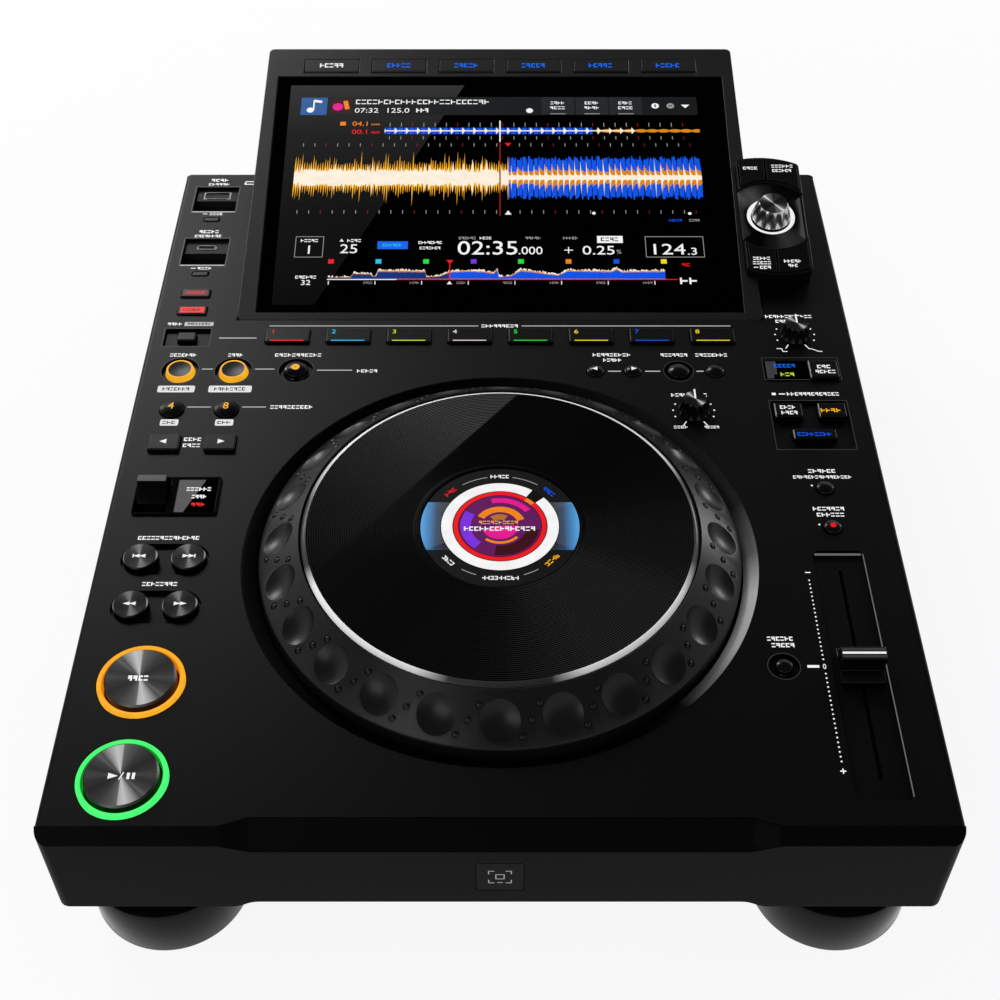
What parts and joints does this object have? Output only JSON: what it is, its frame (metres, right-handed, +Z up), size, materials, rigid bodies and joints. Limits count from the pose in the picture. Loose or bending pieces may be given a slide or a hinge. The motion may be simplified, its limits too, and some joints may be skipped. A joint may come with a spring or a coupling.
{
  "type": "dj media player",
  "caption": "Tabletop player with a jog wheel, columns of keys, a pitch slider and a display that slopes up behind.",
  "frame": {"origin": "middle of the footprint's bounding box, on the table", "axes": "+X right, +Y back towards the display, +Z up"},
  "size_m": [0.329, 0.47, 0.1161],
  "materials": {
    "panel_black": "fine matt grain",
    "case_black": "matt paint",
    "bezel_black": "satin",
    "smoked_window": "gloss",
    "foot_metal": "black anodised, brushed",
    "foot_rubber": "matt",
    "display_glass": "gloss",
    "lcd": "gloss",
    "gloss_black": "gloss",
    "inner_plastic": "matt",
    "bearing_plastic": "matt",
    "board": "satin",
    "inner_metal": "plain",
    "light_guide": "frosted",
    "port_metal": "plain",
    "jack_metal": "plain",
    "plate_metal": "black, finely grooved",
    "key_black": "satin",
    "cue_key": "satin, translucent edge",
    "knob_metal": "spun",
    "knob_black": "satin",
    "button_metal": "spun, dark",
    "amber_key": "translucent amber"
  },
  "bodies": {
    "housing": {"top_panel": "panel_black", "lower_case": "case_black", "front_bezel": "bezel_black", "front_window": "smoked_window", "rear_panel": "case_black", "foot_shells": "foot_metal", "foot_pads": "foot_rubber", "display_frame": "bezel_black", "display_back_cover": "bezel_black", "display_glass": "display_glass", "lcd_panel": "lcd", "selector_pod": "bezel_black", "jog_well_ring": "gloss_black", "jog_spindle": "inner_plastic", "jog_bearings": "bearing_plastic", "jog_display": "lcd", "main_board": "board", "power_supply": "board", "pots_and_fader": "inner_metal", "lever_bezel": "gloss_black", "lamp_rings": "light_guide", "usb_bays": "inner_plastic", "usb_ports": "port_metal", "rca_jacks": "jack_metal", "data_sockets": "inner_plastic", "ac_inlet": "inner_plastic"},
    "jog_wheel": {"jog_ring": "gloss_black", "encoder_disc": "inner_metal"},
    "jog_plate": {"jog_plate": "plate_metal"},
    "fader_cap": {"fader_cap": "key_black"},
    "direction_lever": {"direction_lever": "key_black"},
    "selector_plunger": {"selector_plunger": "inner_metal"},
    "selector_knob": {"selector_knob": "knob_metal"},
    "speed_knob": {"speed_knob": "knob_black"},
    "adjust_knob": {"adjust_knob": "knob_black"},
    "cue_button": {"cue_button": "button_metal"},
    "play_button": {"play_button": "button_metal"},
    "track_back_button": {"track_back_button": "button_metal"},
    "track_next_button": {"track_next_button": "button_metal"},
    "search_back_button": {"search_back_button": "button_metal"},
    "search_next_button": {"search_next_button": "button_metal"},
    "loop_in_button": {"loop_in_button": "amber_key"},
    "loop_out_button": {"loop_out_button": "amber_key"},
    "reloop_button": {"reloop_button": "key_black"},
    "hot_cue_1": {"hot_cue_1": "cue_key"},
    "hot_cue_2": {"hot_cue_2": "cue_key"},
    "hot_cue_3": {"hot_cue_3": "cue_key"},
    "hot_cue_4": {"hot_cue_4": "cue_key"},
    "hot_cue_5": {"hot_cue_5": "cue_key"},
    "hot_cue_6": {"hot_cue_6": "cue_key"},
    "hot_cue_7": {"hot_cue_7": "cue_key"},
    "hot_cue_8": {"hot_cue_8": "cue_key"},
    "beat_keys": {"beat_keys": "key_black"},
    "left_column_keys": {"left_column_keys": "key_black"},
    "right_column_keys": {"right_column_keys": "key_black"},
    "tempo_buttons": {"tempo_buttons": "key_black"},
    "memory_keys": {"memory_keys": "key_black"},
    "pod_keys": {"pod_keys": "key_black"},
    "display_keys": {"display_keys": "key_black"},
    "power_button": {"power_button": "key_black"}
  },
  "joints": [
    {"name": "jog_spin", "type": "hinge", "parent": "housing", "child": "jog_wheel", "pos_m": [0, -0.0998, 0], "axis": [0, 0, 1], "continuous": true},
    {"name": "plate_press", "type": "slide", "parent": "jog_wheel", "child": "jog_plate", "axis": [0, 0, 1], "range_m": [-0.0005, 0], "stiffness_N_per_m": 5000, "springref_m": 0.001},
    {"name": "tempo_slide", "type": "slide", "parent": "housing", "child": "fader_cap", "axis": [0, 1, 0], "range_m": [-0.047, 0.047]},
    {"name": "lever_rock", "type": "hinge", "parent": "housing", "child": "direction_lever", "pos_m": [-0.14675, -0.0692, 0.074], "axis": [1, 0, 0], "range_deg": [-12, 12]},
    {"name": "selector_press", "type": "slide", "parent": "housing", "child": "selector_plunger", "axis": [0, -0.1675, 0.9859], "range_m": [-0.0008, 0], "stiffness_N_per_m": 1000, "springref_m": 0.0008},
    {"name": "selector_turn", "type": "hinge", "parent": "selector_plunger", "child": "selector_knob", "pos_m": [0.1339, 0.10726, 0.1025], "axis": [0, -0.1675, 0.9859], "continuous": true},
    {"name": "speed_turn", "type": "hinge", "parent": "housing", "child": "speed_knob", "pos_m": [0.1382, 0.035, 0.084], "axis": [0, 0, 1], "range_deg": [-150, 150]},
    {"name": "adjust_turn", "type": "hinge", "parent": "housing", "child": "adjust_knob", "pos_m": [0.0865, -0.0167, 0.084], "axis": [0, 0, 1], "range_deg": [-150, 150]},
    {"name": "cue_button_press", "type": "slide", "parent": "housing", "child": "cue_button", "axis": [0, 0, 1], "range_m": [-0.001, 0], "stiffness_N_per_m": 400, "springref_m": 0.001},
    {"name": "play_button_press", "type": "slide", "parent": "housing", "child": "play_button", "axis": [0, 0, 1], "range_m": [-0.001, 0], "stiffness_N_per_m": 400, "springref_m": 0.001},
    {"name": "track_back_button_press", "type": "slide", "parent": "housing", "child": "track_back_button", "axis": [0, 0, 1], "range_m": [-0.001, 0], "stiffness_N_per_m": 300, "springref_m": 0.001},
    {"name": "track_next_button_press", "type": "slide", "parent": "housing", "child": "track_next_button", "axis": [0, 0, 1], "range_m": [-0.001, 0], "stiffness_N_per_m": 300, "springref_m": 0.001},
    {"name": "search_back_button_press", "type": "slide", "parent": "housing", "child": "search_back_button", "axis": [0, 0, 1], "range_m": [-0.001, 0], "stiffness_N_per_m": 300, "springref_m": 0.001},
    {"name": "search_next_button_press", "type": "slide", "parent": "housing", "child": "search_next_button", "axis": [0, 0, 1], "range_m": [-0.001, 0], "stiffness_N_per_m": 300, "springref_m": 0.001},
    {"name": "loop_in_button_press", "type": "slide", "parent": "housing", "child": "loop_in_button", "axis": [0, 0, 1], "range_m": [-0.001, 0], "stiffness_N_per_m": 300, "springref_m": 0.001},
    {"name": "loop_out_button_press", "type": "slide", "parent": "housing", "child": "loop_out_button", "axis": [0, 0, 1], "range_m": [-0.001, 0], "stiffness_N_per_m": 300, "springref_m": 0.001},
    {"name": "reloop_button_press", "type": "slide", "parent": "housing", "child": "reloop_button", "axis": [0, 0, 1], "range_m": [-0.001, 0], "stiffness_N_per_m": 300, "springref_m": 0.001},
    {"name": "hot_cue_1_press", "type": "slide", "parent": "housing", "child": "hot_cue_1", "axis": [0, 0, 1], "range_m": [-0.001, 0], "stiffness_N_per_m": 300, "springref_m": 0.001},
    {"name": "hot_cue_2_press", "type": "slide", "parent": "housing", "child": "hot_cue_2", "axis": [0, 0, 1], "range_m": [-0.001, 0], "stiffness_N_per_m": 300, "springref_m": 0.001},
    {"name": "hot_cue_3_press", "type": "slide", "parent": "housing", "child": "hot_cue_3", "axis": [0, 0, 1], "range_m": [-0.001, 0], "stiffness_N_per_m": 300, "springref_m": 0.001},
    {"name": "hot_cue_4_press", "type": "slide", "parent": "housing", "child": "hot_cue_4", "axis": [0, 0, 1], "range_m": [-0.001, 0], "stiffness_N_per_m": 300, "springref_m": 0.001},
    {"name": "hot_cue_5_press", "type": "slide", "parent": "housing", "child": "hot_cue_5", "axis": [0, 0, 1], "range_m": [-0.001, 0], "stiffness_N_per_m": 300, "springref_m": 0.001},
    {"name": "hot_cue_6_press", "type": "slide", "parent": "housing", "child": "hot_cue_6", "axis": [0, 0, 1], "range_m": [-0.001, 0], "stiffness_N_per_m": 300, "springref_m": 0.001},
    {"name": "hot_cue_7_press", "type": "slide", "parent": "housing", "child": "hot_cue_7", "axis": [0, 0, 1], "range_m": [-0.001, 0], "stiffness_N_per_m": 300, "springref_m": 0.001},
    {"name": "hot_cue_8_press", "type": "slide", "parent": "housing", "child": "hot_cue_8", "axis": [0, 0, 1], "range_m": [-0.001, 0], "stiffness_N_per_m": 300, "springref_m": 0.001},
    {"name": "beat_keys_press", "type": "slide", "parent": "housing", "child": "beat_keys", "axis": [0, 0, 1], "range_m": [-0.001, 0], "stiffness_N_per_m": 300, "springref_m": 0.001},
    {"name": "left_column_keys_press", "type": "slide", "parent": "housing", "child": "left_column_keys", "axis": [0, 0, 1], "range_m": [-0.001, 0], "stiffness_N_per_m": 300, "springref_m": 0.001},
    {"name": "right_column_keys_press", "type": "slide", "parent": "housing", "child": "right_column_keys", "axis": [0, 0, 1], "range_m": [-0.001, 0], "stiffness_N_per_m": 300, "springref_m": 0.001},
    {"name": "tempo_buttons_press", "type": "slide", "parent": "housing", "child": "tempo_buttons", "axis": [0, 0, 1], "range_m": [-0.001, 0], "stiffness_N_per_m": 300, "springref_m": 0.001},
    {"name": "memory_keys_press", "type": "slide", "parent": "housing", "child": "memory_keys", "axis": [0, 0, 1], "range_m": [-0.001, 0], "stiffness_N_per_m": 300, "springref_m": 0.001},
    {"name": "pod_keys_press", "type": "slide", "parent": "housing", "child": "pod_keys", "axis": [0, -0.1675, 0.9859], "range_m": [-0.0005, 0], "stiffness_N_per_m": 300, "springref_m": 0.001},
    {"name": "display_keys_press", "type": "slide", "parent": "housing", "child": "display_keys", "axis": [0, -0.1675, 0.9859], "range_m": [-0.0006, 0], "stiffness_N_per_m": 300, "springref_m": 0.001},
    {"name": "power_button_press", "type": "slide", "parent": "housing", "child": "power_button", "axis": [0, 1, 0], "range_m": [-0.002, 0], "stiffness_N_per_m": 300, "springref_m": 0.001}
  ]
}
